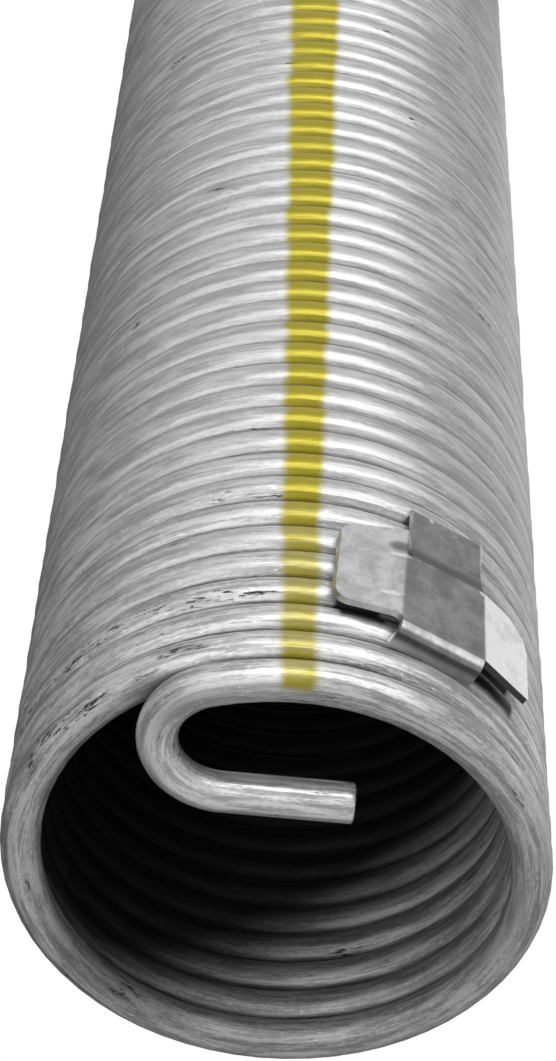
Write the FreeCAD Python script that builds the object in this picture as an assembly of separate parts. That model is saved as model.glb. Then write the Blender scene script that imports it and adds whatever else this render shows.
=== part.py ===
"""Torsion spring of a garage door: a close-wound coil with a hook at each end, and a sheet clip on it.

Millimetres. The coil stands on its far end, with its axis on +Z and the open mouth at the top. Azimuths are
in degrees round +Z from +X. The origin is the middle of the far end, on the plane that it stands on.
"""
import FreeCAD, Part
import math
import os

from FreeCAD import Vector

# Wire and coil
WIRE_DIAMETER = 5.8
COIL_INNER_DIAMETER = 67.0
TURN_GAP = 0.1
TURNS = 45.5

# How the round wire is drawn along the coil: straight steps of an eight-sided section
SECTION_SIDES = 8
STEPS_PER_TURN = 16
FLATS_PROUD = 0.03

# Hook at each end of the wire, in the plane across the axis
MOUTH_HOOK_AZIMUTH = 289.3
HOOK_BEND_RADIUS = 9.7
HOOK_BEND_SWEEP = 161.5
HOOK_BEND_STEPS = 10
HOOK_TAIL_LENGTH = 18.2

# Sheet clip: a spine across the turns, with a lip down into a groove at each end, and a wing to either side.
# Left and right are as seen from outside, with the mouth downwards
SHEET_THICKNESS = 1.0
SHEET_BEND_RADIUS = 0.8
CLIP_AZIMUTH = 243.4
CLIP_FIRST_GROOVE = 2
CLIP_TURNS_HELD = 5
CLIP_STANDOFF = 1.6
LIP_CLEARANCE = 0.1
SPINE_WIDTH = 13.5
LEFT_LEAN = 5.0
RIGHT_LEAN = 2.5
CREASE_FROM_LIP = 16.4
CREASE_RAMP = 4.0
TAB_WIDTH = 12.0
TAB_DROP = 0.8
NOTCH_WIDTH = 0.8
LEFT_WING_FROM_LIP = 3.0
LEFT_WING_HEIGHT = 19.2
LEFT_WING_LENGTH = 9.8
LEFT_WING_BEND = 20.0
LEFT_WING_TAPER = 0.9
LEFT_CORNER_RADIUS = 2.5
LIP_FILLET_RADIUS = 1.6
RIGHT_WING_FROM_LIP = 1.4
RIGHT_WING_LENGTH = 9.8
RIGHT_WING_BEND = 17.0
RIGHT_FAR_CORNER_RADIUS = 5.0
RIGHT_MOUTH_CORNER_RADIUS = 0.6

# Worked out from the values above
wire_radius = WIRE_DIAMETER / 2
coil_radius = COIL_INNER_DIAMETER / 2 + wire_radius
outer_radius = coil_radius + wire_radius
pitch = WIRE_DIAMETER + TURN_GAP
section_apothem = wire_radius + FLATS_PROUD
mouth_height = section_apothem + TURNS * pitch
far_hook_azimuth = MOUTH_HOOK_AZIMUTH - 360.0 * TURNS
helix_angle = math.degrees(math.atan2(pitch, 2 * math.pi * coil_radius))
body_height = outer_radius + CLIP_STANDOFF
lip_reach = CLIP_TURNS_HELD * pitch / 2
crease = lip_reach - CREASE_FROM_LIP
left_wing_high = lip_reach - LEFT_WING_FROM_LIP
left_wing_low = left_wing_high - LEFT_WING_HEIGHT
right_wing_high = lip_reach - RIGHT_WING_FROM_LIP
half_spine = SPINE_WIDTH / 2
axis = Vector(0, 0, 1)


def outward(azimuth):
    """The unit vector away from the axis at an azimuth."""
    turn = math.radians(azimuth)
    return Vector(math.cos(turn), math.sin(turn), 0)


def along(azimuth):
    """The unit vector round the axis, towards larger azimuths."""
    return axis.cross(outward(azimuth))


def wire_height(azimuth):
    """Height of the wire's middle at an azimuth that counts whole turns down from the mouth's hook."""
    return mouth_height - pitch * (MOUTH_HOOK_AZIMUTH - azimuth) / 360.0


# Spring wire
def wire_section(azimuth):
    """The eight-sided section of the wire where it passes an azimuth."""
    corner_radius = section_apothem / math.cos(math.pi / SECTION_SIDES)
    middle = outward(azimuth) * coil_radius + axis * wire_height(azimuth)
    corners = []
    for side in range(SECTION_SIDES):
        angle = 2 * math.pi * (side + 0.5) / SECTION_SIDES
        reach = outward(azimuth) * (corner_radius * math.cos(angle))
        rise = axis * (corner_radius * math.sin(angle))
        corners.append(middle + reach + rise)
    return Part.makePolygon(corners + corners[:1])


def coil():
    """The close-wound turns, ruled from one section to the next."""
    steps = round(TURNS * STEPS_PER_TURN)
    sections = []
    for step in range(steps + 1):
        azimuth = far_hook_azimuth + 360.0 * TURNS * step / steps
        sections.append(wire_section(azimuth))
    return Part.makeLoft(sections, True, True)


def hook(azimuth, sense):
    """The wire past one end of the coil: bent inwards round an eye, then straight to a square cut.

    The sense is 1 where the wire leaves the coil towards larger azimuths, and -1 the other way.
    """
    start = outward(azimuth) * coil_radius + axis * wire_height(azimuth)
    bend_middle = start - outward(azimuth) * HOOK_BEND_RADIUS
    heading = along(azimuth) * sense
    sections = []
    for step in range(HOOK_BEND_STEPS + 1):
        section = Part.Wire(Part.makeCircle(wire_radius, start, heading))
        section.rotate(bend_middle, axis, sense * HOOK_BEND_SWEEP * step / HOOK_BEND_STEPS)
        sections.append(section)
    bend = Part.makeLoft(sections, True, True)
    turned = FreeCAD.Rotation(axis, sense * HOOK_BEND_SWEEP)
    tail_start = bend_middle + turned.multVec(start - bend_middle)
    tail = Part.makeCylinder(wire_radius, HOOK_TAIL_LENGTH, tail_start, turned.multVec(heading))
    return bend.fuse(tail)


def spring_wire():
    """The whole wire: the turns and both hooks in one piece."""
    return coil().fuse([hook(MOUTH_HOOK_AZIMUTH, 1), hook(far_hook_azimuth, -1)])


# Sheet clip, drawn with X along a turn, Y along the axis towards the mouth and Z away from the axis
def rounded_path(corners, radii):
    """A line through corners, each inner one rounded with its radius by a tangent arc, or sharp at 0."""
    edges = []
    last = corners[0]
    for before, corner, after, radius in zip(corners, corners[1:], corners[2:], radii):
        if radius == 0:
            edges.append(Part.makeLine(last, corner))
            last = corner
            continue
        back = (before - corner).normalize()
        ahead = (after - corner).normalize()
        half = back.getAngle(ahead) / 2
        arc_start = corner + back * (radius / math.tan(half))
        arc_end = corner + ahead * (radius / math.tan(half))
        bisector = (back + ahead).normalize()
        arc_middle = corner + bisector * (radius / math.sin(half) - radius)
        edges.append(Part.makeLine(last, arc_start))
        edges.append(Part.Arc(arc_start, arc_middle, arc_end).toShape())
        last = arc_end
    edges.append(Part.makeLine(last, corners[-1]))
    return Part.Wire(edges)


def strip(underside, away):
    """The sheet's section on top of a path along its underside, which away points out of."""
    for side in (SHEET_THICKNESS, -SHEET_THICKNESS):
        section = underside.makeOffset2D(side, 0, True, True, False)
        if (section.CenterOfMass - underside.CenterOfMass).dot(away) > 0:
            return section
    raise ValueError("the sheet's section has no upper side")


def lip_tip_height():
    """Height above the axis at which a lip's tip sits between two turns, clear of their corners' flats."""
    half_space = (pitch - SHEET_THICKNESS) / 2 - LIP_CLEARANCE
    return coil_radius + math.sqrt(2) * section_apothem - half_space


def leaning(x, lean, y):
    """The place at y in the plane of the body, on a leaning line that is x from the middle at the lip."""
    return Vector(x - math.tan(math.radians(lean)) * (lip_reach - y), y, 0)


def spine_space(half_width, right_lean, low, high):
    """All the space over a stretch of the spine, with the lean of its right side."""
    corners = [
        leaning(-half_width, right_lean, low),
        leaning(half_width, LEFT_LEAN, low),
        leaning(half_width, LEFT_LEAN, high),
        leaning(-half_width, right_lean, high),
    ]
    outline = Part.Face(Part.makePolygon(corners + corners[:1]))
    return outline.extrude(axis * (body_height + SHEET_THICKNESS))


def clip_spine():
    """Lip, body, lowered tab and far lip, as one strip across the turns with leaning sides."""
    tip = lip_tip_height()
    inner_face = lip_reach - SHEET_THICKNESS / 2
    outer_face = lip_reach + SHEET_THICKNESS
    underside = [
        Vector(0, inner_face, tip),
        Vector(0, inner_face, body_height),
        Vector(0, crease, body_height),
        Vector(0, crease - CREASE_RAMP, body_height - TAB_DROP),
        Vector(0, -inner_face, body_height - TAB_DROP),
        Vector(0, -inner_face, tip),
    ]
    outer_bend = SHEET_BEND_RADIUS + SHEET_THICKNESS
    radii = [SHEET_BEND_RADIUS, SHEET_BEND_RADIUS, outer_bend, SHEET_BEND_RADIUS]
    section = strip(rounded_path(underside, radii), axis)
    section.translate(Vector(-SPINE_WIDTH, 0, 0))
    body = spine_space(half_spine, RIGHT_LEAN, crease, outer_face)
    tab = spine_space(TAB_WIDTH / 2, LEFT_LEAN, -outer_face, crease)
    return section.extrude(Vector(2 * SPINE_WIDTH, 0, 0)).common(body.fuse(tab))


def wing_reach(length, bend):
    """How far a wing reaches from the spine as seen from outside."""
    return length * math.cos(math.radians(bend))


def bent_sheet(side, lean, length, bend, low, high):
    """The sheet from the middle of the spine over one side, bent there towards the coil. Side is 1 or -1."""
    drop = length * math.sin(math.radians(bend))
    underside = [
        Vector(0, 0, body_height),
        Vector(side * half_spine, 0, body_height),
        Vector(side * (half_spine + wing_reach(length, bend)), 0, body_height - drop),
    ]
    section = strip(rounded_path(underside, [SHEET_BEND_RADIUS]), axis)
    start = leaning(0, lean, low)
    section.translate(start)
    return section.extrude(leaning(0, lean, high) - start)


def cut_to(sheet, outline):
    """The part of a sheet inside an outline drawn in the plane of the body."""
    return sheet.common(outline.extrude(axis * (body_height + SHEET_THICKNESS)))


def lip_fillet():
    """The corner between the left wing's mouth edge and the spine, rounded inwards."""
    corner = leaning(half_spine, LEFT_LEAN, left_wing_high)
    across = Vector(LIP_FILLET_RADIUS, 0, 0)
    up = Vector(0, LIP_FILLET_RADIUS, 0)
    arc_middle = corner + (across + up) * (1 - 1 / math.sqrt(2))
    edges = [
        Part.makeLine(corner, corner + across),
        Part.Arc(corner + across, arc_middle, corner + up).toShape(),
        Part.makeLine(corner + up, corner),
    ]
    return Part.Face(Part.Wire(edges))


def left_wing():
    """The larger wing, from the mouth's lip to past the crease, clear of the tab by a notch."""
    high = left_wing_high
    low = left_wing_low
    tip = half_spine + wing_reach(LEFT_WING_LENGTH, LEFT_WING_BEND)
    corners = [
        leaning(0, LEFT_LEAN, high),
        leaning(0, LEFT_LEAN, low),
        leaning(half_spine, LEFT_LEAN, low),
        leaning(tip, LEFT_LEAN, low + LEFT_WING_TAPER),
        leaning(tip, LEFT_LEAN, high - LEFT_WING_TAPER),
        leaning(half_spine + LIP_FILLET_RADIUS, LEFT_LEAN, high),
        leaning(0, LEFT_LEAN, high),
    ]
    radii = [0, 0, LEFT_CORNER_RADIUS, LEFT_CORNER_RADIUS, 0]
    outline = Part.Face(rounded_path(corners, radii)).fuse(lip_fillet())
    end = high + LIP_FILLET_RADIUS
    sheet = bent_sheet(1, LEFT_LEAN, LEFT_WING_LENGTH, LEFT_WING_BEND, low, end)
    window = spine_space(TAB_WIDTH / 2 + NOTCH_WIDTH, LEFT_LEAN, low, crease)
    return cut_to(sheet, outline).cut(window)


def right_wing():
    """The smaller wing, from the mouth's lip to the crease, with a widely rounded far corner."""
    high = right_wing_high
    tip = -half_spine - wing_reach(RIGHT_WING_LENGTH, RIGHT_WING_BEND)
    corners = [
        leaning(0, RIGHT_LEAN, crease),
        leaning(0, RIGHT_LEAN, high),
        leaning(tip, RIGHT_LEAN, high),
        leaning(tip, RIGHT_LEAN, crease),
        leaning(0, RIGHT_LEAN, crease),
    ]
    radii = [0, RIGHT_MOUTH_CORNER_RADIUS, RIGHT_FAR_CORNER_RADIUS]
    sheet = bent_sheet(-1, RIGHT_LEAN, RIGHT_WING_LENGTH, RIGHT_WING_BEND, crease, high)
    return cut_to(sheet, Part.Face(rounded_path(corners, radii)))


def retaining_clip():
    """The folded clip, set on the coil along the slope of its turns."""
    sheet = clip_spine().fuse([left_wing(), right_wing()]).removeSplitter()
    groove_azimuth = CLIP_AZIMUTH - 360.0 * (CLIP_FIRST_GROOVE - 0.5)
    middle = wire_height(groove_azimuth) - lip_reach
    tilt = FreeCAD.Rotation(outward(CLIP_AZIMUTH), helix_angle)
    across = tilt.multVec(along(CLIP_AZIMUTH))
    up = tilt.multVec(axis)
    place = FreeCAD.Rotation(across, up, outward(CLIP_AZIMUTH), "XYZ")
    sheet.Placement = FreeCAD.Placement(axis * middle, place)
    return sheet


def save(shape, name):
    shape.exportStep(f"parts/{name}.step")


os.makedirs("parts", exist_ok=True)
save(spring_wire(), "spring_wire")
save(retaining_clip(), "retaining_clip")
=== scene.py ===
"""Looks of a garage door torsion spring: drawn steel wire with a painted stripe, and a folded sheet clip.

Metres, in the frame of the construction model: the coil stands on its far end with its axis on +Z, and
azimuths are in degrees round +Z from +X.
"""

import math

import bpy
import numpy as np
from mathutils import Matrix, Vector


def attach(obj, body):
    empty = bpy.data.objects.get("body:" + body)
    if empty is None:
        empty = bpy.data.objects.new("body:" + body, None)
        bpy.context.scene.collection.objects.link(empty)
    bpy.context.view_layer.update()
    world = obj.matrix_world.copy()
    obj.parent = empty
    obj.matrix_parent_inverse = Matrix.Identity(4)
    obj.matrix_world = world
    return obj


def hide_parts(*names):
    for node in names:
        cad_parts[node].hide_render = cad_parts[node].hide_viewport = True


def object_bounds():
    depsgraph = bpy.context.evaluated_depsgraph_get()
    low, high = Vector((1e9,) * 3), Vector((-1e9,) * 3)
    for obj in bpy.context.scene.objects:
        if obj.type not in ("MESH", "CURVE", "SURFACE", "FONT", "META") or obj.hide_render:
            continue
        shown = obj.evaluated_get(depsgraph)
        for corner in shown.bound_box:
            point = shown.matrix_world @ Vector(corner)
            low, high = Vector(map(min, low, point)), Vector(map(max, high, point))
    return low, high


MM = 0.001

# Wire and coil, as the construction model has them
WIRE_RADIUS = 2.9 * MM
COIL_RADIUS = 36.4 * MM
PITCH = 5.9 * MM
TURNS = 45.5
MOUTH_HEIGHT = 271.38 * MM
MOUTH_HOOK_AZIMUTH = 289.3
HOOK_BEND_RADIUS = 9.7 * MM
HOOK_BEND_SWEEP = 161.5
HOOK_TAIL_LENGTH = 18.2 * MM

# The wire's mesh, and how unevenly its turns lie
RINGS_PER_TURN = 64
RINGS_PER_BEND = 40
RINGS_PER_TAIL = 12
RING_SIDES = 24
TURN_WANDER = 0.10 * MM
TURN_WANDER_WAVES = ((0.37, 0.5), (1.13, 0.3), (2.71, 0.2))
CUT_CHAMFER = 0.3 * MM

# Lengths along the wire, of one turn, of all the turns and of a hook, and where the turns end
TURN_LENGTH = math.hypot(2 * math.pi * COIL_RADIUS, PITCH)
COIL_LENGTH = TURNS * TURN_LENGTH
HOOK_LENGTH = HOOK_TAIL_LENGTH + HOOK_BEND_RADIUS * math.radians(HOOK_BEND_SWEEP)
COIL_END = HOOK_LENGTH + COIL_LENGTH

# Drawn steel: the noise of each of its patterns, with its length along the wire and its width across it
LINES = dict(length=30 * MM, width=0.22 * MM, detail=3.0, roughness=0.6)
STREAKS = dict(length=9 * MM, width=0.8 * MM, detail=4.0, roughness=0.6, shift=5.0)
SPECKS = dict(length=0.9 * MM, width=0.25 * MM, detail=2.0, shift=31.0)
PATCHES = dict(length=40 * MM, width=6 * MM, detail=3.0, shift=11.0)
SCUFFS = dict(length=2.6 * MM, width=0.5 * MM, detail=5.0, roughness=0.7, shift=17.0)
SCUFFED_ZONES = dict(length=14 * MM, width=3 * MM, detail=2.0, shift=23.0)
PAINT_RUBS = dict(length=7 * MM, width=1.5 * MM, detail=4.0, shift=9.0)

# How much the patterns count in the wire's relief and shade, and from where to where each one shows
STREAK_RELIEF = 0.55
LINE_RELIEF = 0.25
RELIEF_SHARE = 2.0
SPECK_SHADE = 0.2
SHADE_RANGE = (0.42, 0.58)
PATCH_RANGE = (0.55, 0.80)
SCUFF_RANGE = (0.54, 0.60)
SCUFFED_RANGE = (0.66, 0.76)
FLECK_RANGE = (0.69, 0.75)

# Greys of the wire: of its streaks far from the mouth and at the mouth, of worn patches, scuffs and flecks
DARK_STREAKS = (0.38, 0.32)
PALE_STREAKS = (0.57, 0.66)
PATCH_GREY = 0.42
SCUFF_GREY = 0.06
FLECK_GREY = 0.9

# Where scuffs and flecks get more frequent towards the mouth and scuffs to the +X side; painted light on
# hooks
SCUFFED_START = 200 * MM
SCUFFED_HALF_WIDTH = 30 * MM
SCUFFED_SHARE = 0.10
HOOK_PAINTED_LIGHT = 1.45

# Surface of the bare wire, of its scuffs, hooks, paint and the shade painted inside the coil
ROUGHNESS_RANGE = (0.3, 0.7)
WIRE_ROUGHNESS = (0.34, 0.50)
SCUFF_ROUGHNESS = 0.8
HOOK_ROUGHNESS = 0.28
PAINT_ROUGHNESS = 0.3
INSIDE_SHADE_ROUGHNESS = 0.6
WIRE_METALLIC = 0.6
PAINT_METALLIC = 0.45
WIRE_SPECULAR = 0.5
INSIDE_SHADE_SPECULAR = 0.1
WIRE_RELIEF_DEPTH = 0.06 * MM

# Painted shade where one turn lies on the next: its level, where across the wire it is, and how softly it
# ends
GROOVE_SHADE = 0.25
GROOVE_START = 0.80 * WIRE_RADIUS
GROOVE_FULL = 0.97 * WIRE_RADIUS
GROOVE_EASE = 0.05 * TURN_LENGTH

# Shade painted inside the coil: its level, the depth at which it is full and its share before, how
# much sooner it is full towards +X and -Y, its share on the rim's +Y side, and where round the wire it is
INSIDE_SHADE_LEVEL = 0.03
INSIDE_SHADE_DEPTH = 25 * MM
INSIDE_SHADE_LEAST = 0.4
INSIDE_SHADE_SLANT_X = 0.7
INSIDE_SHADE_SLANT_Y = -0.1
INSIDE_SHADE_RIM_SHARE = 0.9
INSIDE_SHADE_START = 0.1 * WIRE_RADIUS
INSIDE_SHADE_FULL = -0.5 * WIRE_RADIUS

# Painted stripe on the outside of the turns: its edges across the coil, at the mouth and at the far end, how
# unevenly they run, where it fades towards the mouth, and how its crests are rubbed there
STRIPE_RIGHT = -1.6 * MM
STRIPE_LEFT_AT_MOUTH = 3.1 * MM
STRIPE_LEFT_AT_FAR_END = 9.1 * MM
STRIPE_SOFTNESS = 0.9 * MM
STRIPE_WANDER = 1.1 * MM
STRIPE_WAVES = dict(lengths=(30 * MM, 30 * MM, 4 * MM), detail=3.0, shift=3.0)
STRIPE_FADE_START = 229 * MM
STRIPE_FADE_END = 250 * MM
STRIPE_FADED_SHARE = 0.2
STRIPE_RUB_RANGE = (0.35, 0.60)
STRIPE_RUB_LEAST = 0.3
STRIPE_CREST = (0.30 * WIRE_RADIUS, 0.95 * WIRE_RADIUS)
STRIPE_COLOR = (0.31, 0.26, 0.010, 1.0)

# Clip: where it lies, and its lips, spine, bend lines and ramp, as the construction model has them
CLIP_MIDDLE = Vector((0, 0, 247.03 * MM))
CLIP_AZIMUTH = 243.4
CLIP_TILT = 1.478
CLIP_LIP_REACH = 14.75 * MM
CLIP_HALF_SPINE = 6.75 * MM
CLIP_LEFT_LEAN = 5.0
CLIP_RIGHT_LEAN = 2.5
CLIP_CREASE = -1.65 * MM
CLIP_RAMP_END = -5.65 * MM

# How bright each part of the clip is painted, for the light and shade that fall on it
CLIP_SPINE_LEVEL = 0.36
CLIP_LEFT_WING_LEVEL = 0.56
CLIP_RIGHT_WING_LEVEL = 1.0
CLIP_RAMP_SHADE_LEVEL = 0.07
CLIP_DARK_LEVEL = 0.10
CLIP_LIP_HIGHLIGHT_LEVEL = 0.95

# From where to where each part of the clip changes to the next: the wings past their bends, the right wing's
# edge in painted shade, the lip's painted highlight on its bend and painted shade on its face, and the ramp's
# painted shade
CLIP_WING_CHANGE = (CLIP_HALF_SPINE - 0.1 * MM, CLIP_HALF_SPINE + 0.5 * MM)
CLIP_EDGE_CHANGE = (13.25 * MM, 13.30 * MM)
CLIP_LIP_BEND_CHANGE = (13.2 * MM, 13.6 * MM)
CLIP_LIP_END_CHANGE = (14.8 * MM, 14.4 * MM)
CLIP_LIP_FACE_CHANGE = (14.95 * MM, 15.15 * MM)
CLIP_LIP_DARK_CHANGE = (39.3 * MM, 40.4 * MM)
CLIP_RAMP_SHADE_CHANGE = (CLIP_CREASE, CLIP_CREASE - 0.4 * MM)
CLIP_RAMP_SHADE_END_CHANGE = (CLIP_RAMP_END - 1.0 * MM, CLIP_CREASE - 1.5 * MM)
CLIP_RAMP_SHADE_SHARE = 0.85

# Spots painted on the clip, each with its place along a turn and across the turns, its half sizes that way in
# millimetres, and its level: a shadow at the notch, and highlights on two ridges, a dent and a corner
CLIP_LIGHT_SPOTS = (
    (6.3, -3.2, 1.9, 1.30, 0.20),
    (8.0, 7.9, 1.7, 0.55, 0.95),
    (6.1, -1.2, 1.7, 0.50, 0.95),
    (0.4, -13.6, 0.4, 0.60, 1.00),
    (-7.3, -1.3, 0.6, 0.50, 1.00),
)
CLIP_LIGHT_SPOT_FADE = 1.3

# The clip's mottling, its surface, and its sheet's edges with the angle from which they are rounded
CLIP_MOTTLE = dict(lengths=[4 * MM] * 3, detail=6.0, roughness=0.65)
CLIP_FINE_MOTTLE = dict(lengths=[0.5 * MM] * 3, detail=2.0, shift=4.0)
CLIP_MOTTLE_SHADE = 0.8
CLIP_FINE_SHADE = 0.2
CLIP_SHADE_RANGE = (0.36, 0.64)
CLIP_STAIN = (0.78, 1.20)
CLIP_ROUGHNESS = (0.28, 0.40)
CLIP_METALLIC = 0.9
CLIP_RELIEF_DEPTH = 0.04 * MM
CLIP_EDGE_LEVEL = 0.85
CLIP_EDGE_ROUGHNESS = 0.35
CLIP_EDGE_METALLIC = 0.8
CLIP_EDGE_WIDTH = 0.2 * MM
CLIP_EDGE_STEPS = 2
CLIP_EDGE_ANGLE = 40

# Painted shadow on the turns under the clip's wings: each wing's side, its mouth-side edge and its tip, where
# the shadow starts across the turns, and how softly it ends at the edge, at the tip and at the spine
UNDER_CLIP_SHADE = 0.06
UNDER_CLIP_WINGS = ((1, 11.8 * MM, 13.6 * MM), (-1, 13.6 * MM, 15.8 * MM))
UNDER_CLIP_START = 3.0 * MM
UNDER_CLIP_EDGE_SOFTNESS = 0.6 * MM
UNDER_CLIP_TIP_SOFTNESS = 0.4 * MM
UNDER_CLIP_SPINE_SOFTNESS = 1.0 * MM

# Camera, in the place that the turns and the mouth of the photographed spring give
CAMERA_PLACE = Vector((0.0184, -0.2789, 0.5588))
CAMERA_FORWARD = Vector((-0.0351, 0.6032, -0.7968))
CAMERA_ROLL = 183.15
CAMERA_NEAR_LIMIT = 0.01
SENSOR_LENGTH_MM = 36.0
LENS_MM = 95.7

# Floor: its size and surface, and how brightly and by what share it glows to the camera
FLOOR_SIZE = 6.0
FLOOR_LEVEL = 0.85
FLOOR_ROUGHNESS = 0.9
FLOOR_GLOW = 1.15
FLOOR_GLOW_SHARE = 0.8

# Light: a room with a level at each azimuth, a ceiling with its own, the elevations between which the one
# changes to the other, the backdrop that the camera sees instead, and two soft lamps
SURROUNDINGS = (
    (0, 0.09),
    (75, 0.04),
    (130, 0.25),
    (165, 1.0),
    (205, 0.40),
    (265, 0.85),
    (300, 0.60),
    (360, 0.09),
)
WALL_LEVEL = 0.70
CEILING_LEVEL = 0.42
WALL_TOP = 10.0
CEILING_START = 40.0
BACKDROP_LEVEL = 1.0
FRONT_LAMP = dict(azimuth=260, elevation=10, distance=0.8, width=0.75, height=0.30, power=4.2)
SIDE_LAMP = dict(azimuth=306, elevation=46, distance=0.9, width=0.60, height=0.60, power=2.2)

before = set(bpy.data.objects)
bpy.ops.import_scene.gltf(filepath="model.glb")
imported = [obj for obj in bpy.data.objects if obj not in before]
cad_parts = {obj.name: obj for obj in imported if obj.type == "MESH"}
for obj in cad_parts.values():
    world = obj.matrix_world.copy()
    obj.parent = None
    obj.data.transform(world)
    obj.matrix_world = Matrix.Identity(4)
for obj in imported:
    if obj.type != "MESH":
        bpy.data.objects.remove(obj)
cad_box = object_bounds()


def outward(azimuth):
    """The unit vector away from the axis at an azimuth."""
    turn = math.radians(azimuth)
    return np.array([math.cos(turn), math.sin(turn), 0.0])


# Camera
def make_camera():
    """The photo's camera, turned half a turn about its line of sight, so that the mouth is below."""
    forward = CAMERA_FORWARD.normalized()
    level_right = forward.cross(Vector((0, 0, 1))).normalized()
    roll = Matrix.Rotation(math.radians(CAMERA_ROLL), 3, -forward)
    right = roll @ level_right
    up = right.cross(forward)
    data = bpy.data.cameras.new("camera")
    data.sensor_width = SENSOR_LENGTH_MM
    data.lens = LENS_MM
    data.clip_start = CAMERA_NEAR_LIMIT
    camera = bpy.data.objects.new("camera", data)
    turn = Matrix((right, up, -forward)).transposed().to_4x4()
    camera.matrix_world = Matrix.Translation(CAMERA_PLACE) @ turn
    bpy.context.collection.objects.link(camera)
    bpy.context.scene.camera = camera


# Node helpers
def start_material(name):
    """A new material, its node tree and its Principled shader."""
    material = bpy.data.materials.new(name)
    material.use_nodes = True
    tree = material.node_tree
    return material, tree, tree.nodes["Principled BSDF"]


def feed(tree, socket, value):
    """Links an output to a socket, or sets a constant on it."""
    if isinstance(value, bpy.types.NodeSocket):
        tree.links.new(value, socket)
    else:
        socket.default_value = value


def math_node(tree, operation, first, second=0.0, third=0.0, clamp=False):
    node = tree.nodes.new("ShaderNodeMath")
    node.operation = operation
    node.use_clamp = clamp
    for socket, value in zip(node.inputs, (first, second, third)):
        feed(tree, socket, value)
    return node.outputs[0]


def ramp_up(tree, value, low, high):
    """0 below low, 1 above high and smooth between; with low above high it falls instead."""
    node = tree.nodes.new("ShaderNodeMapRange")
    node.interpolation_type = "SMOOTHSTEP"
    for name, given in (("Value", value), ("From Min", low), ("From Max", high)):
        feed(tree, node.inputs[name], given)
    return node.outputs["Result"]


def mix_color(tree, factor, first, second, blend="MIX"):
    node = tree.nodes.new("ShaderNodeMix")
    node.data_type = "RGBA"
    node.blend_type = blend
    feed(tree, node.inputs["Factor"], factor)
    feed(tree, node.inputs[6], first)
    feed(tree, node.inputs[7], second)
    return node.outputs[2]


def mix_value(tree, factor, first, second):
    node = tree.nodes.new("ShaderNodeMix")
    feed(tree, node.inputs["Factor"], factor)
    feed(tree, node.inputs[2], first)
    feed(tree, node.inputs[3], second)
    return node.outputs[0]


def grain(tree, place, lengths, detail=2.0, roughness=0.5, shift=0.0):
    """Noise from 0 to 1 whose features have these lengths along the three directions of a place."""
    stretch = tree.nodes.new("ShaderNodeMapping")
    stretch.inputs["Location"].default_value = (shift, shift, shift)
    stretch.inputs["Scale"].default_value = tuple(1 / length for length in lengths)
    tree.links.new(place, stretch.inputs["Vector"])
    noise = tree.nodes.new("ShaderNodeTexNoise")
    noise.inputs["Scale"].default_value = 1.0
    noise.inputs["Detail"].default_value = detail
    noise.inputs["Roughness"].default_value = roughness
    tree.links.new(stretch.outputs["Vector"], noise.inputs["Vector"])
    return noise.outputs["Fac"]


def bump(tree, height, depth):
    node = tree.nodes.new("ShaderNodeBump")
    node.inputs["Distance"].default_value = depth
    tree.links.new(height, node.inputs["Height"])
    return node.outputs["Normal"]


def grey(level):
    return (level, level, level, 1.0)


def split_place(tree, place):
    node = tree.nodes.new("ShaderNodeSeparateXYZ")
    tree.links.new(place, node.inputs[0])
    return node.outputs


# Steel wire
def wire_grain(tree, place, length, width, **noise):
    """Noise whose features have a length along the wire and a width across it."""
    return grain(tree, place, (length, width, width), **noise)


def stripe_mask(tree, place):
    """Where the stripe is painted, from 0 to 1: on the front of the turns, with soft uneven edges."""
    position = tree.nodes.new("ShaderNodeTexCoord").outputs["Object"]
    x, y, z = split_place(tree, position)
    wander = grain(tree, position, **STRIPE_WAVES)
    wander = math_node(tree, "MULTIPLY_ADD", wander, 2 * STRIPE_WANDER, -STRIPE_WANDER)
    across = math_node(tree, "ADD", x, wander)
    left_drift = (STRIPE_LEFT_AT_MOUTH - STRIPE_LEFT_AT_FAR_END) / MOUTH_HEIGHT
    left_edge = math_node(tree, "MULTIPLY_ADD", z, left_drift, STRIPE_LEFT_AT_FAR_END)
    past_left = math_node(tree, "SUBTRACT", left_edge, across)
    inside_left = ramp_up(tree, past_left, -STRIPE_SOFTNESS, STRIPE_SOFTNESS)
    inside_right = ramp_up(tree, across, STRIPE_RIGHT - STRIPE_SOFTNESS, STRIPE_RIGHT + STRIPE_SOFTNESS)
    in_front = ramp_up(tree, y, -COIL_RADIUS, -COIL_RADIUS - WIRE_RADIUS / 2)
    mask = math_node(tree, "MULTIPLY", inside_left, inside_right)
    mask = math_node(tree, "MULTIPLY", mask, in_front)
    crest = ramp_up(tree, split_place(tree, place)["Y"], *STRIPE_CREST)
    wear_and_highlight = ramp_up(tree, wire_grain(tree, place, **PAINT_RUBS), *STRIPE_RUB_RANGE)
    wear_and_highlight = math_node(tree, "MULTIPLY_ADD", wear_and_highlight, 1 - STRIPE_RUB_LEAST, STRIPE_RUB_LEAST)
    worn = math_node(tree, "MULTIPLY", crest, wear_and_highlight)
    fade = ramp_up(tree, z, STRIPE_FADE_START, STRIPE_FADE_END)
    lost = math_node(tree, "MULTIPLY", math_node(tree, "MULTIPLY", fade, STRIPE_FADED_SHARE), worn)
    return math_node(tree, "MULTIPLY", mask, math_node(tree, "SUBTRACT", 1.0, lost))


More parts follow.
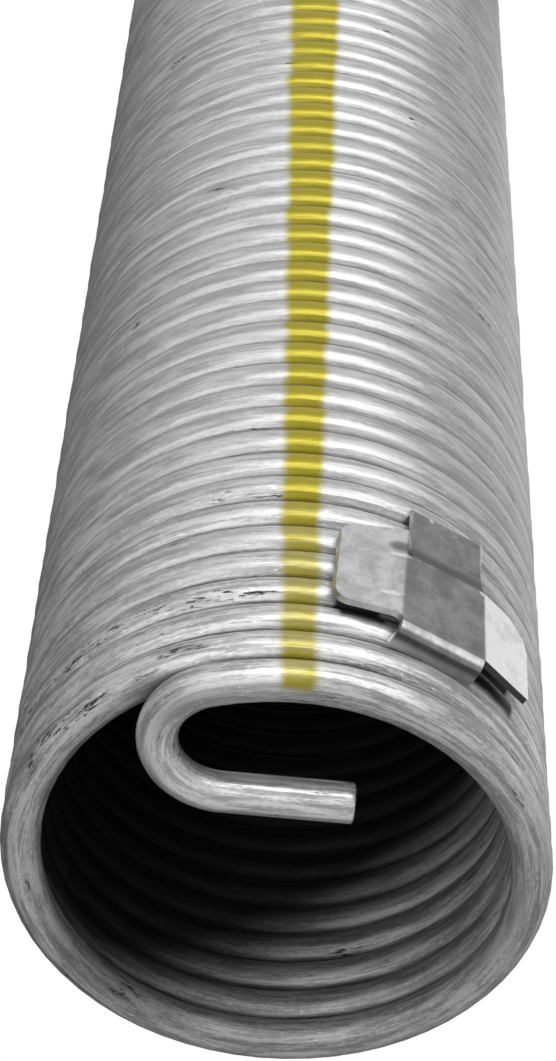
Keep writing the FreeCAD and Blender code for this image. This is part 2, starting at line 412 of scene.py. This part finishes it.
def inside_shade_mask(tree, place):
    """Where painted shade darkens the wire, from 0 to 1: on the inside of the turns, more so deep in the
    coil.
    """
    position = tree.nodes.new("ShaderNodeTexCoord").outputs["Object"]
    x, y, z = split_place(tree, position)
    from_middle = math_node(tree, "ABSOLUTE", math_node(tree, "SUBTRACT", z, MOUTH_HEIGHT / 2))
    depth = math_node(tree, "SUBTRACT", MOUTH_HEIGHT / 2, from_middle)
    slanted = math_node(tree, "MULTIPLY_ADD", y, INSIDE_SHADE_SLANT_Y, depth)
    slanted = math_node(tree, "MULTIPLY_ADD", x, INSIDE_SHADE_SLANT_X, slanted)
    deep = ramp_up(tree, slanted, 0.0, INSIDE_SHADE_DEPTH)
    deep = math_node(tree, "MULTIPLY_ADD", deep, 1 - INSIDE_SHADE_LEAST, INSIDE_SHADE_LEAST)
    on_rim = math_node(tree, "MULTIPLY", ramp_up(tree, y, 0.0, COIL_RADIUS), INSIDE_SHADE_RIM_SHARE)
    past_rim = ramp_up(tree, depth, WIRE_RADIUS, WIRE_RADIUS + PITCH)
    deep = math_node(tree, "MULTIPLY", deep, math_node(tree, "MAXIMUM", past_rim, on_rim))
    inside = ramp_up(tree, split_place(tree, place)["Y"], INSIDE_SHADE_START, INSIDE_SHADE_FULL)
    return math_node(tree, "MULTIPLY", deep, inside)


def groove_shade_mask(tree, place):
    """Where painted shade darkens the wire, from 0 to 1: along both lines of contact, not on the coil's free
    ends.
    """
    distance, _, side = split_place(tree, place)
    first_turn_end = HOOK_LENGTH + TURN_LENGTH
    last_turn_start = COIL_END - TURN_LENGTH
    past_first = ramp_up(tree, distance, first_turn_end - GROOVE_EASE, first_turn_end)
    off_mouth_hook = ramp_up(tree, distance, COIL_END, COIL_END - GROOVE_EASE)
    low = ramp_up(tree, side, GROOVE_START, GROOVE_FULL)
    low = math_node(tree, "MULTIPLY", math_node(tree, "MULTIPLY", low, past_first), off_mouth_hook)
    before_last = ramp_up(tree, distance, last_turn_start + GROOVE_EASE, last_turn_start)
    off_far_hook = ramp_up(tree, distance, HOOK_LENGTH, HOOK_LENGTH + GROOVE_EASE)
    high = ramp_up(tree, side, -GROOVE_START, -GROOVE_FULL)
    high = math_node(tree, "MULTIPLY", math_node(tree, "MULTIPLY", high, before_last), off_far_hook)
    return math_node(tree, "MAXIMUM", low, high)


def hook_mask(tree, place):
    """1 on the hooks, and 0 on the turns, with a soft change over the start of the bend."""
    distance = split_place(tree, place)["X"]
    far_hook = ramp_up(tree, distance, HOOK_LENGTH, HOOK_LENGTH - HOOK_BEND_RADIUS)
    mouth_hook = ramp_up(tree, distance, COIL_END, COIL_END + HOOK_BEND_RADIUS)
    return math_node(tree, "MAXIMUM", far_hook, mouth_hook)


def clip_axes():
    """The clip's directions along a turn, across the turns towards the mouth, and away from the coil."""
    away = Vector(outward(CLIP_AZIMUTH))
    upward = Matrix.Rotation(math.radians(CLIP_TILT), 3, away) @ Vector((0, 0, 1))
    return upward.cross(away), upward, away


def clip_distance(tree, position, direction):
    """How far a position lies from the clip's middle along a direction."""
    from_middle = tree.nodes.new("ShaderNodeVectorMath")
    from_middle.operation = "SUBTRACT"
    tree.links.new(position, from_middle.inputs[0])
    from_middle.inputs[1].default_value = CLIP_MIDDLE
    product = tree.nodes.new("ShaderNodeVectorMath")
    product.operation = "DOT_PRODUCT"
    tree.links.new(from_middle.outputs["Vector"], product.inputs[0])
    product.inputs[1].default_value = direction
    return product.outputs["Value"]


def wing_shadow(tree, along, up, side, edge, tip):
    """Where a painted shadow lies on the turns under one of the clip's wings, from 0 to 1."""
    reach = math_node(tree, "MULTIPLY", along, side)
    before_tip = ramp_up(tree, reach, tip + UNDER_CLIP_TIP_SOFTNESS, tip - UNDER_CLIP_TIP_SOFTNESS)
    past_spine = ramp_up(tree, reach, CLIP_HALF_SPINE, CLIP_HALF_SPINE + UNDER_CLIP_SPINE_SOFTNESS)
    below_edge = ramp_up(tree, up, edge + UNDER_CLIP_EDGE_SOFTNESS, edge - UNDER_CLIP_EDGE_SOFTNESS)
    return math_node(tree, "MULTIPLY", math_node(tree, "MULTIPLY", before_tip, past_spine), below_edge)


def clip_shadow_mask(tree, position):
    """Where a painted shadow lies on the turns under the clip's wings, from 0 to 1."""
    along, up, out = [clip_distance(tree, position, direction) for direction in clip_axes()]
    left, right = [wing_shadow(tree, along, up, *wing) for wing in UNDER_CLIP_WINGS]
    on_front = math_node(tree, "GREATER_THAN", out, 0.0)
    near_edge = ramp_up(tree, up, UNDER_CLIP_START, 2 * UNDER_CLIP_START)
    near_edge = math_node(tree, "MULTIPLY", near_edge, on_front)
    return math_node(tree, "MULTIPLY", math_node(tree, "MAXIMUM", left, right), near_edge)


def scuff_mask(tree, place, x, near_mouth):
    """Where the wire is scuffed dark, from 0 to 1: more often near the mouth and on the +X side."""
    scuffs = wire_grain(tree, place, **SCUFFS)
    zones = wire_grain(tree, place, **SCUFFED_ZONES)
    to_side = ramp_up(tree, x, -SCUFFED_HALF_WIDTH, SCUFFED_HALF_WIDTH)
    more = math_node(tree, "MULTIPLY", near_mouth, to_side)
    zones = math_node(tree, "MULTIPLY_ADD", more, SCUFFED_SHARE, zones)
    in_zone = ramp_up(tree, zones, *SCUFFED_RANGE)
    return math_node(tree, "MULTIPLY", ramp_up(tree, scuffs, *SCUFF_RANGE), in_zone)


def bare_color(tree, place, shade, specks, hook, near_mouth):
    """The wire's grey before scuffs, paint and painted shade: streaks, worn patches, painted light on the
    hooks, and bright flecks.
    """
    dark = mix_value(tree, near_mouth, *DARK_STREAKS)
    pale = mix_value(tree, near_mouth, *PALE_STREAKS)
    color = mix_color(tree, ramp_up(tree, shade, *SHADE_RANGE), dark, pale)
    patches = wire_grain(tree, place, **PATCHES)
    color = mix_color(tree, ramp_up(tree, patches, *PATCH_RANGE), color, grey(PATCH_GREY))
    # Painted light: the hooks are painted brighter than the turns
    color = mix_color(tree, hook, color, grey(HOOK_PAINTED_LIGHT), blend="MULTIPLY")
    flecks = math_node(tree, "MULTIPLY", ramp_up(tree, specks, *FLECK_RANGE), near_mouth)
    return mix_color(tree, flecks, color, grey(FLECK_GREY))


def painted_shade_color(tree, place, position, color):
    """A colour darkened by painted shade in the grooves and by a painted shadow under the clip's wings."""
    # Painted shade in the grooves between the turns
    color = mix_color(tree, groove_shade_mask(tree, place), color, grey(GROOVE_SHADE), blend="MULTIPLY")
    # Painted shadow on the turns under the clip's wings
    clip_shadow = clip_shadow_mask(tree, position)
    return mix_color(tree, clip_shadow, color, grey(UNDER_CLIP_SHADE), blend="MULTIPLY")


def wire_roughness(tree, streaks, hook, scuffs, paint, inside_shade):
    """How rough the wire is: smoother on the hooks and the paint, and rough where it is scuffed or shaded
    inside the coil.
    """
    roughness = mix_value(tree, ramp_up(tree, streaks, *ROUGHNESS_RANGE), *WIRE_ROUGHNESS)
    roughness = mix_value(tree, hook, roughness, HOOK_ROUGHNESS)
    roughness = mix_value(tree, scuffs, roughness, SCUFF_ROUGHNESS)
    roughness = mix_value(tree, paint, roughness, PAINT_ROUGHNESS)
    return mix_value(tree, inside_shade, roughness, INSIDE_SHADE_ROUGHNESS)


def wire_material():
    """Drawn spring steel: fine lines along the wire, dark scuffs, the yellow stripe, and painted light and
    shade.
    """
    material, tree, shader = start_material("spring_steel")
    attribute = tree.nodes.new("ShaderNodeAttribute")
    attribute.attribute_name = "wire_place"
    place = attribute.outputs["Vector"]
    position = tree.nodes.new("ShaderNodeTexCoord").outputs["Object"]
    x, _, z = split_place(tree, position)
    near_mouth = ramp_up(tree, z, SCUFFED_START, MOUTH_HEIGHT)
    streaks = wire_grain(tree, place, **STREAKS)
    specks = wire_grain(tree, place, **SPECKS)
    scuffs = scuff_mask(tree, place, x, near_mouth)
    hook = hook_mask(tree, place)
    inside_shade = inside_shade_mask(tree, place)
    paint = stripe_mask(tree, place)

    lines = math_node(tree, "MULTIPLY", wire_grain(tree, place, **LINES), LINE_RELIEF)
    relief = math_node(tree, "MULTIPLY_ADD", streaks, STREAK_RELIEF, lines)
    shade = math_node(tree, "MULTIPLY_ADD", specks, SPECK_SHADE, relief)
    color = bare_color(tree, place, shade, specks, hook, near_mouth)
    color = mix_color(tree, scuffs, color, grey(SCUFF_GREY))
    # Painted shade inside the coil, darker deeper in
    color = mix_color(tree, inside_shade, color, grey(INSIDE_SHADE_LEVEL), blend="MULTIPLY")
    color = mix_color(tree, paint, color, STRIPE_COLOR)
    # Painted shade in the grooves and painted shadow under the clip's wings
    color = painted_shade_color(tree, place, position, color)

    relief = math_node(tree, "MULTIPLY", relief, RELIEF_SHARE)
    surface = math_node(tree, "SUBTRACT", relief, scuffs)
    roughness = wire_roughness(tree, streaks, hook, scuffs, paint, inside_shade)
    # Less reflection where shade is painted inside the coil
    specular = mix_value(tree, inside_shade, WIRE_SPECULAR, INSIDE_SHADE_SPECULAR)
    metallic = mix_value(tree, paint, WIRE_METALLIC, PAINT_METALLIC)
    tree.links.new(color, shader.inputs["Base Color"])
    tree.links.new(roughness, shader.inputs["Roughness"])
    tree.links.new(specular, shader.inputs["Specular IOR Level"])
    tree.links.new(metallic, shader.inputs["Metallic"])
    tree.links.new(bump(tree, surface, WIRE_RELIEF_DEPTH), shader.inputs["Normal"])
    return material


def turn_wander(turn):
    """How far the wire's middle wanders from the true coil at a count of turns, as a share."""
    return sum(share * np.sin(2 * math.pi * rate * turn) for rate, share in TURN_WANDER_WAVES)


def hook_rings(azimuth, sense):
    """Middles and outward directions of the rings past one end of the coil, from the bend to the tail."""
    height = MOUTH_HEIGHT - PITCH * (MOUTH_HOOK_AZIMUTH - azimuth) / 360
    lift = np.array([0, 0, height])
    bend_middle = outward(azimuth) * (COIL_RADIUS - HOOK_BEND_RADIUS) + lift
    middles = []
    outwards = []
    for step in range(1, RINGS_PER_BEND + 1):
        turned = outward(azimuth + sense * HOOK_BEND_SWEEP * step / RINGS_PER_BEND)
        middles.append(bend_middle + turned * HOOK_BEND_RADIUS)
        outwards.append(turned)
    heading = sense * np.cross([0, 0, 1], outwards[-1])
    for step in range(1, RINGS_PER_TAIL + 1):
        middles.append(middles[RINGS_PER_BEND - 1] + heading * HOOK_TAIL_LENGTH * step / RINGS_PER_TAIL)
        outwards.append(outwards[RINGS_PER_BEND - 1])
    return middles, outwards


def wire_rings():
    """Middles and outward directions of all the wire's rings, from the far tail to the mouth's."""
    far_azimuth = MOUTH_HOOK_AZIMUTH - 360 * TURNS
    far_middles, far_outwards = hook_rings(far_azimuth, -1)
    middles = far_middles[::-1]
    outwards = far_outwards[::-1]
    rings = round(TURNS * RINGS_PER_TURN)
    for ring in range(rings + 1):
        turn = TURNS * ring / rings
        azimuth = far_azimuth + 360 * turn
        ease = min(1.0, turn, TURNS - turn)
        radius = COIL_RADIUS + TURN_WANDER * ease * turn_wander(turn)
        height = MOUTH_HEIGHT - PITCH * (TURNS - turn)
        middles.append(outward(azimuth) * radius + np.array([0, 0, height]))
        outwards.append(outward(azimuth))
    near_middles, near_outwards = hook_rings(MOUTH_HOOK_AZIMUTH, 1)
    return np.array(middles + near_middles), np.array(outwards + near_outwards)


def doubled_ends(values):
    """The same values with the first and the last one repeated, for the rings of the cut faces."""
    return np.concatenate([values[:1], values, values[-1:]])


def wire_surface():
    """The wire's points by ring, and their places: along the wire, and out and sideways from its middle."""
    middles, outwards = wire_rings()
    tangents = np.gradient(middles, axis=0)
    tangents /= np.linalg.norm(tangents, axis=1)[:, None]
    sides = np.cross(tangents, outwards)
    sides /= np.linalg.norm(sides, axis=1)[:, None]
    steps = np.linalg.norm(np.diff(middles, axis=0), axis=1)
    distances = doubled_ends(np.concatenate([[0], np.cumsum(steps)]))
    radii = doubled_ends(np.full(len(middles), WIRE_RADIUS))
    radii[[0, -1]] -= CUT_CHAMFER
    middles = doubled_ends(middles)
    middles[1] += tangents[0] * CUT_CHAMFER
    middles[-2] -= tangents[-1] * CUT_CHAMFER
    outwards = doubled_ends(outwards)
    sides = doubled_ends(sides)

    angles = np.arange(RING_SIDES) * 2 * math.pi / RING_SIDES
    out_part = radii[:, None] * np.cos(angles)[None, :]
    side_part = radii[:, None] * np.sin(angles)[None, :]
    points = middles[:, None] + out_part[..., None] * outwards[:, None]
    points += side_part[..., None] * sides[:, None]
    along = np.repeat(distances[:, None], RING_SIDES, axis=1)
    return points, np.stack([along, out_part, side_part], axis=2)


def tube_faces(rings):
    """Faces from ring to ring, and the two flat cuts last."""
    faces = []
    for ring in range(rings - 1):
        first = ring * RING_SIDES
        after = first + RING_SIDES
        for side in range(RING_SIDES):
            following = (side + 1) % RING_SIDES
            faces.append((first + side, first + following, after + following, after + side))
    last = (rings - 1) * RING_SIDES
    faces.append(tuple(range(RING_SIDES))[::-1])
    faces.append(tuple(last + side for side in range(RING_SIDES)))
    return faces


def make_wire():
    """The whole wire as one smooth round tube with chamfered square cuts at its ends."""
    points, places = wire_surface()
    faces = tube_faces(len(points))
    mesh = bpy.data.meshes.new("wire")
    mesh.from_pydata(points.reshape(-1, 3).tolist(), [], faces)
    mesh.polygons.foreach_set("use_smooth", [True] * (len(faces) - 2) + [False] * 2)
    attribute = mesh.attributes.new("wire_place", "FLOAT_VECTOR", "POINT")
    attribute.data.foreach_set("vector", places.reshape(-1))
    mesh.materials.append(wire_material())
    wire = bpy.data.objects.new("wire", mesh)
    bpy.context.collection.objects.link(wire)
    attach(wire, "root")
    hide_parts("spring_wire")


# Sheet clip
def past_bend(tree, along, below_lip, side, lean):
    """1 on the wing beyond the bend line on one side of the spine, which leans, and 0 on the spine."""
    shift = math_node(tree, "MULTIPLY", below_lip, math.tan(math.radians(lean)))
    from_line = math_node(tree, "MULTIPLY", math_node(tree, "ADD", along, shift), side)
    return ramp_up(tree, from_line, *CLIP_WING_CHANGE)


def clip_light_spot(tree, along, up, spot):
    """1 in the middle of one of the clip's small painted spots, and 0 round it."""
    spot_along, spot_up, half_along, half_up, _ = spot
    x = math_node(tree, "DIVIDE", math_node(tree, "SUBTRACT", along, spot_along * MM), half_along * MM)
    y = math_node(tree, "DIVIDE", math_node(tree, "SUBTRACT", up, spot_up * MM), half_up * MM)
    square = math_node(tree, "MULTIPLY_ADD", x, x, math_node(tree, "MULTIPLY", y, y))
    return ramp_up(tree, square, CLIP_LIGHT_SPOT_FADE, 0.0)


def lip_highlight(tree, up):
    """1 on the outside of the lip's bend, where a highlight is painted, and 0 elsewhere."""
    into_bend = ramp_up(tree, up, *CLIP_LIP_BEND_CHANGE)
    out_of_bend = ramp_up(tree, up, *CLIP_LIP_END_CHANGE)
    return math_node(tree, "MULTIPLY", into_bend, out_of_bend)


def lip_dark(tree, up, out):
    """1 on the upper part of the lip's face, where shade is painted, and 0 elsewhere."""
    high = ramp_up(tree, out, *CLIP_LIP_DARK_CHANGE)
    on_face = ramp_up(tree, up, *CLIP_LIP_FACE_CHANGE)
    return math_node(tree, "MULTIPLY", high, on_face)


def ramp_shading_share(tree, up):
    """How strongly shade is painted on the ramp down to the tab, and 0 elsewhere."""
    past_crease = ramp_up(tree, up, *CLIP_RAMP_SHADE_CHANGE)
    before_tab = ramp_up(tree, up, *CLIP_RAMP_SHADE_END_CHANGE)
    shading_share = math_node(tree, "MULTIPLY", past_crease, before_tab)
    return math_node(tree, "MULTIPLY", shading_share, CLIP_RAMP_SHADE_SHARE)


def clip_level(tree, position):
    """The sheet's grey, with light and shade painted on its spine, wings, lip, right edge, ramp and small
    spots.
    """
    along, up, out = [clip_distance(tree, position, direction) for direction in clip_axes()]
    below_lip = math_node(tree, "SUBTRACT", CLIP_LIP_REACH, up)
    left = past_bend(tree, along, below_lip, 1, CLIP_LEFT_LEAN)
    right = past_bend(tree, along, below_lip, -1, CLIP_RIGHT_LEAN)
    on_spine = math_node(tree, "SUBTRACT", 1.0, math_node(tree, "MAXIMUM", left, right))
    # Painted light and shade: a darker spine and brighter wings, as the light falls on each
    level = mix_value(tree, left, CLIP_SPINE_LEVEL, CLIP_LEFT_WING_LEVEL)
    level = mix_value(tree, right, level, CLIP_RIGHT_WING_LEVEL)

    # Painted shade on the right wing's cut edge
    right_edge = ramp_up(tree, up, *CLIP_EDGE_CHANGE)
    level = mix_value(tree, math_node(tree, "MULTIPLY", right_edge, right), level, CLIP_DARK_LEVEL)
    # Painted highlight along the outside of the lip's bend
    wear_and_highlight = math_node(tree, "MULTIPLY", lip_highlight(tree, up), on_spine)
    level = mix_value(tree, wear_and_highlight, level, CLIP_LIP_HIGHLIGHT_LEVEL)
    # Painted shade on the upper part of the lip's face
    level = mix_value(tree, lip_dark(tree, up, out), level, CLIP_DARK_LEVEL)
    # Painted shade on the ramp down to the tab
    shading_share = math_node(tree, "MULTIPLY", ramp_shading_share(tree, up), on_spine)
    level = mix_value(tree, shading_share, level, CLIP_RAMP_SHADE_LEVEL)
    # Small painted highlights, and a painted shadow at the notch
    for spot in CLIP_LIGHT_SPOTS:
        level = mix_value(tree, clip_light_spot(tree, along, up, spot), level, spot[-1])
    return level


def clip_material():
    """Punched sheet steel, mottled, with light and shade painted on its parts."""
    material, tree, shader = start_material("clip_steel")
    position = tree.nodes.new("ShaderNodeTexCoord").outputs["Object"]
    mottle = grain(tree, position, **CLIP_MOTTLE)
    fine = math_node(tree, "MULTIPLY", grain(tree, position, **CLIP_FINE_MOTTLE), CLIP_FINE_SHADE)
    shade = math_node(tree, "MULTIPLY_ADD", mottle, CLIP_MOTTLE_SHADE, fine)
    stain = mix_value(tree, ramp_up(tree, shade, *CLIP_SHADE_RANGE), *CLIP_STAIN)
    level = math_node(tree, "MULTIPLY", clip_level(tree, position), stain, clamp=True)
    roughness = mix_value(tree, ramp_up(tree, mottle, *ROUGHNESS_RANGE), *CLIP_ROUGHNESS)
    tree.links.new(level, shader.inputs["Base Color"])
    tree.links.new(roughness, shader.inputs["Roughness"])
    tree.links.new(bump(tree, shade, CLIP_RELIEF_DEPTH), shader.inputs["Normal"])
    shader.inputs["Metallic"].default_value = CLIP_METALLIC
    return material


def clip_edge_material():
    """The sheet's edges where the bevel rounds them, in a brighter grey than the sheet."""
    material, _, shader = start_material("clip_edge_steel")
    shader.inputs["Base Color"].default_value = grey(CLIP_EDGE_LEVEL)
    shader.inputs["Roughness"].default_value = CLIP_EDGE_ROUGHNESS
    shader.inputs["Metallic"].default_value = CLIP_EDGE_METALLIC
    return material


def finish_clip():
    """The construction model's clip, with its materials and its edges rounded."""
    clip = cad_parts["retaining_clip"]
    clip.data.materials.clear()
    clip.data.materials.append(clip_material())
    clip.data.materials.append(clip_edge_material())
    bevel = clip.modifiers.new("edges", "BEVEL")
    bevel.material = 1
    bevel.width = CLIP_EDGE_WIDTH
    bevel.segments = CLIP_EDGE_STEPS
    bevel.limit_method = "ANGLE"
    bevel.angle_limit = math.radians(CLIP_EDGE_ANGLE)
    bevel.harden_normals = True


# Floor and light
def surroundings(tree, place):
    """The level of the room at the azimuth of a place or a direction; stops are added, then placed."""
    x, y, _ = split_place(tree, place)
    azimuth = math_node(tree, "ARCTAN2", y, x)
    turn = math_node(tree, "FRACT", math_node(tree, "DIVIDE", azimuth, 2 * math.pi))
    node = tree.nodes.new("ShaderNodeValToRGB")
    node.color_ramp.interpolation = "EASE"
    stops = node.color_ramp.elements
    while len(stops) < len(SURROUNDINGS):
        stops.new(0.5)
    for stop, (at, level) in zip(stops, SURROUNDINGS):
        stop.position = at / 360
        stop.color = grey(level)
    tree.links.new(turn, node.inputs["Fac"])
    return node.outputs["Color"]


def seen_directly(tree):
    """1 for what the camera sees of the room, and 0 for the light that falls on the part."""
    ray = tree.nodes.new("ShaderNodeLightPath").outputs
    return math_node(tree, "MAXIMUM", ray["Is Camera Ray"], ray["Is Transmission Ray"])


def make_floor():
    """A floor that takes the part's shadow, white to the camera and with the room's levels in reflections."""
    material, tree, shader = start_material("floor")
    shader.inputs["Base Color"].default_value = grey(FLOOR_LEVEL)
    shader.inputs["Roughness"].default_value = FLOOR_ROUGHNESS
    shader.inputs["Specular IOR Level"].default_value = 0.0
    mirrored = tree.nodes.new("ShaderNodeLightPath").outputs["Is Glossy Ray"]
    place = tree.nodes.new("ShaderNodeTexCoord").outputs["Object"]
    directly = seen_directly(tree)
    glow = tree.nodes.new("ShaderNodeEmission")
    tree.links.new(mix_value(tree, directly, surroundings(tree, place), FLOOR_GLOW), glow.inputs["Strength"])
    share = math_node(tree, "MULTIPLY_ADD", directly, FLOOR_GLOW_SHARE, mirrored)
    blend = tree.nodes.new("ShaderNodeMixShader")
    tree.links.new(share, blend.inputs["Fac"])
    tree.links.new(shader.outputs["BSDF"], blend.inputs[1])
    tree.links.new(glow.outputs["Emission"], blend.inputs[2])
    tree.links.new(blend.outputs["Shader"], tree.nodes["Material Output"].inputs["Surface"])
    bpy.ops.mesh.primitive_plane_add(size=FLOOR_SIZE, location=(0, 0, cad_box[0][2]))
    floor = bpy.context.object
    floor.name = "floor"
    floor.data.materials.append(material)


def make_lamp(name, azimuth, elevation, distance, width, height, power):
    """A flat soft lamp that faces the middle of the coil."""
    middle = Vector((0, 0, MOUTH_HEIGHT / 2))
    direction = Vector(outward(azimuth)) * math.cos(math.radians(elevation))
    direction.z = math.sin(math.radians(elevation))
    data = bpy.data.lights.new(name, "AREA")
    data.shape = "RECTANGLE"
    data.size = width
    data.size_y = height
    data.energy = power
    lamp = bpy.data.objects.new(name, data)
    lamp.location = middle + direction * distance
    lamp.rotation_euler = direction.to_track_quat("Z", "Y").to_euler()
    bpy.context.collection.objects.link(lamp)


def make_room():
    """Light from all sides that falls off from the walls to a darker ceiling, before a white backdrop."""
    world = bpy.data.worlds.new("world")
    world.use_nodes = True
    tree = world.node_tree
    direction = tree.nodes.new("ShaderNodeTexCoord").outputs["Generated"]
    wall_top = math.sin(math.radians(WALL_TOP))
    ceiling_start = math.sin(math.radians(CEILING_START))
    overhead = ramp_up(tree, split_place(tree, direction)["Z"], wall_top, ceiling_start)
    walls = math_node(tree, "MULTIPLY", surroundings(tree, direction), WALL_LEVEL)
    level = mix_value(tree, overhead, walls, CEILING_LEVEL)
    level = mix_value(tree, seen_directly(tree), level, BACKDROP_LEVEL)
    tree.links.new(level, tree.nodes["Background"].inputs["Strength"])
    tree.nodes["Background"].inputs["Color"].default_value = grey(1.0)
    bpy.context.scene.world = world


make_camera()
make_wire()
finish_clip()
make_floor()
make_room()
make_lamp("front_lamp", **FRONT_LAMP)
make_lamp("side_lamp", **SIDE_LAMP)
bpy.context.scene.view_settings.view_transform = "Standard"
